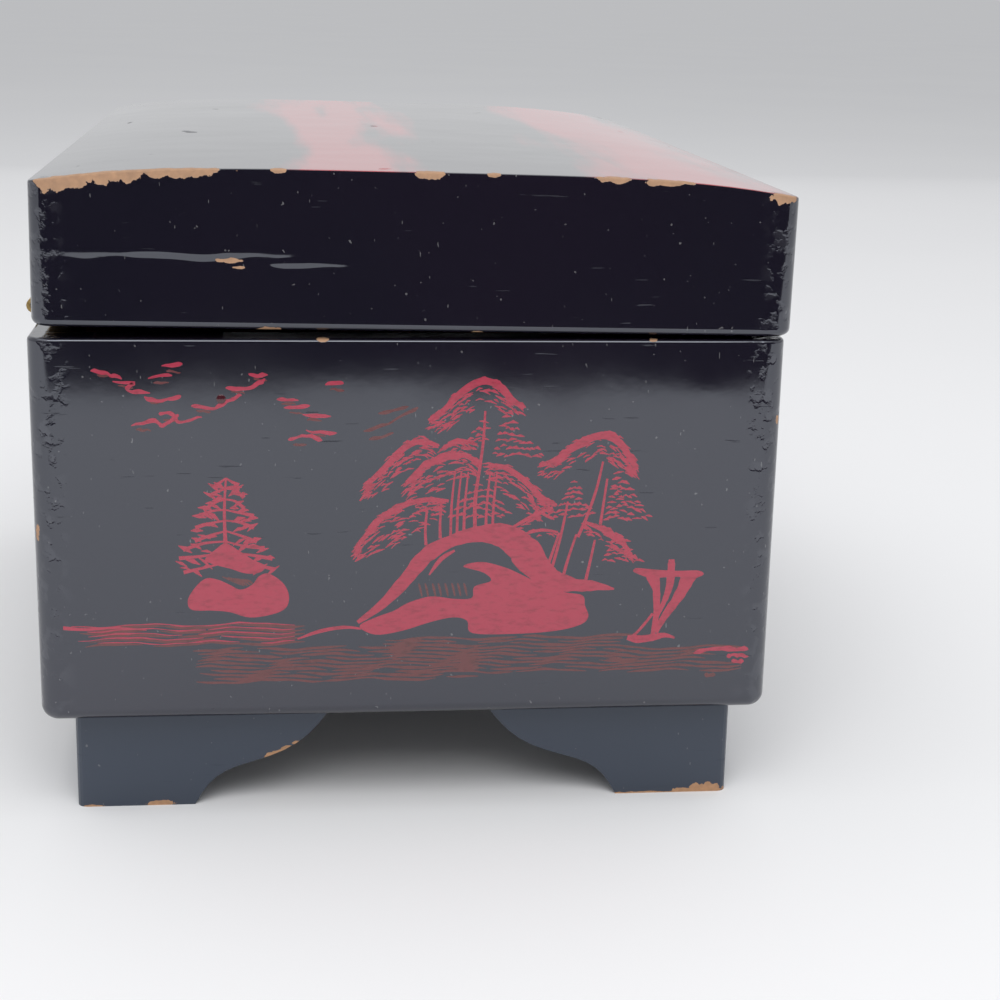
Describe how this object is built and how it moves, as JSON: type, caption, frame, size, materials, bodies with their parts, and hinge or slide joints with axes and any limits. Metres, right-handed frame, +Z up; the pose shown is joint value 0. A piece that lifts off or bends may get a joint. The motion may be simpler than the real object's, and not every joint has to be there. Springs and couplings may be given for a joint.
{
  "type": "musical jewelry box",
  "caption": "Black lacquered musical jewelry box on bracket feet: hinged lid with mirror, lift-out ring tray, comb-and-cylinder music movement wound by a key underneath.",
  "frame": {"origin": "middle of the underside of the whole box, hinge barrels included", "axes": "+X along the long side, +Z up, the front faces -Y and the hinges are at +Y"},
  "size_m": [0.23, 0.1568, 0.1343],
  "materials": {
    "black_lacquer": "glossy black lacquer with thin raised paint and worn edges",
    "satin_lacquer": "satin black lacquer",
    "bare_wood": "plain unfinished wood",
    "red_velvet": "short pile velvet",
    "brass": "satin brass",
    "steel": "brushed steel",
    "clear_cover": "clear pane",
    "mirror": "silvered mirror",
    "fan_plastic": "matte moulded plastic"
  },
  "bodies": {
    "case": {"front_wall": "black_lacquer", "back_wall": "black_lacquer", "left_end_wall": "black_lacquer", "right_end_wall": "black_lacquer", "left_end_front_bracket": "satin_lacquer", "front_left_bracket": "satin_lacquer", "left_end_back_bracket": "satin_lacquer", "back_left_bracket": "satin_lacquer", "right_end_front_bracket": "satin_lacquer", "front_right_bracket": "satin_lacquer", "right_end_back_bracket": "satin_lacquer", "back_right_bracket": "satin_lacquer", "bottom_board": "bare_wood", "tray_ledge_left": "bare_wood", "tray_ledge_right": "bare_wood", "cover_ledge": "bare_wood", "long_partition": "red_velvet", "cross_partition": "red_velvet", "main_floor_pad": "red_velvet", "front_floor_pad": "red_velvet", "left_case_leaf": "brass", "left_hinge_pin": "brass", "right_case_leaf": "brass", "right_hinge_pin": "brass", "bedplate": "brass", "left_bearing": "brass", "right_bearing": "brass", "comb_block": "brass", "governor_frame": "brass", "stop_guide": "brass", "spring_housing": "steel", "mainspring": "steel", "comb": "steel", "movement_cover": "clear_cover"},
    "lid": {"lid_top": "black_lacquer", "lid_front_rim": "black_lacquer", "lid_back_rim": "black_lacquer", "lid_left_rim": "black_lacquer", "lid_right_rim": "black_lacquer", "mirror_surround": "red_velvet", "lid_mirror": "mirror", "left_lid_leaf": "brass", "right_lid_leaf": "brass"},
    "tray": {"tray_box": "red_velvet", "tray_divider": "red_velvet", "ring_roll_1": "red_velvet", "ring_roll_2": "red_velvet", "ring_roll_3": "red_velvet"},
    "key_train": {"winding_arbor": "steel", "crown_wheel": "brass", "winding_key": "steel"},
    "cylinder": {"cylinder_arbor": "steel", "pinned_cylinder": "brass", "great_wheel": "brass"},
    "governor": {"governor_arbor": "steel", "worm_wheel": "brass"},
    "fan": {"worm_shaft": "steel", "air_brake_fan": "fan_plastic"},
    "stop": {"stop_wire": "steel"}
  },
  "joints": [
    {"name": "lid_hinge", "type": "hinge", "parent": "case", "child": "lid", "pos_m": [0, 0.07681, 0.10225], "axis": [-1, 0, 0], "range_deg": [0, 100]},
    {"name": "tray_lift", "type": "slide", "parent": "case", "child": "tray", "axis": [0, 0, 1], "range_m": [0, 0.012]},
    {"name": "cylinder_turn", "type": "hinge", "parent": "case", "child": "cylinder", "pos_m": [0.068, 0.03891, 0.046], "axis": [1, 0, 0], "continuous": true},
    {"name": "key_turn", "type": "hinge", "parent": "case", "child": "key_train", "pos_m": [0.056, 0.03891, 0.0265], "axis": [0, 0, 1], "continuous": true},
    {"name": "governor_turn", "type": "hinge", "parent": "case", "child": "governor", "pos_m": [0.099, 0.04836, 0.046], "axis": [1, 0, 0], "continuous": true},
    {"name": "fan_turn", "type": "hinge", "parent": "case", "child": "fan", "pos_m": [0.099, 0.05438, 0.0525], "axis": [0, 0, 1], "continuous": true},
    {"name": "stop_lift", "type": "slide", "parent": "case", "child": "stop", "axis": [0, 0, 1], "range_m": [0, 0.003]}
  ],
  "couplings": [
    {"joint": "key_turn", "follows": "cylinder_turn", "ratio": 0.31818},
    {"joint": "governor_turn", "follows": "cylinder_turn", "ratio": -4},
    {"joint": "fan_turn", "follows": "cylinder_turn", "ratio": 80},
    {"joint": "stop_lift", "follows": "lid_hinge", "m_per_rad": 0.0017188}
  ]
}
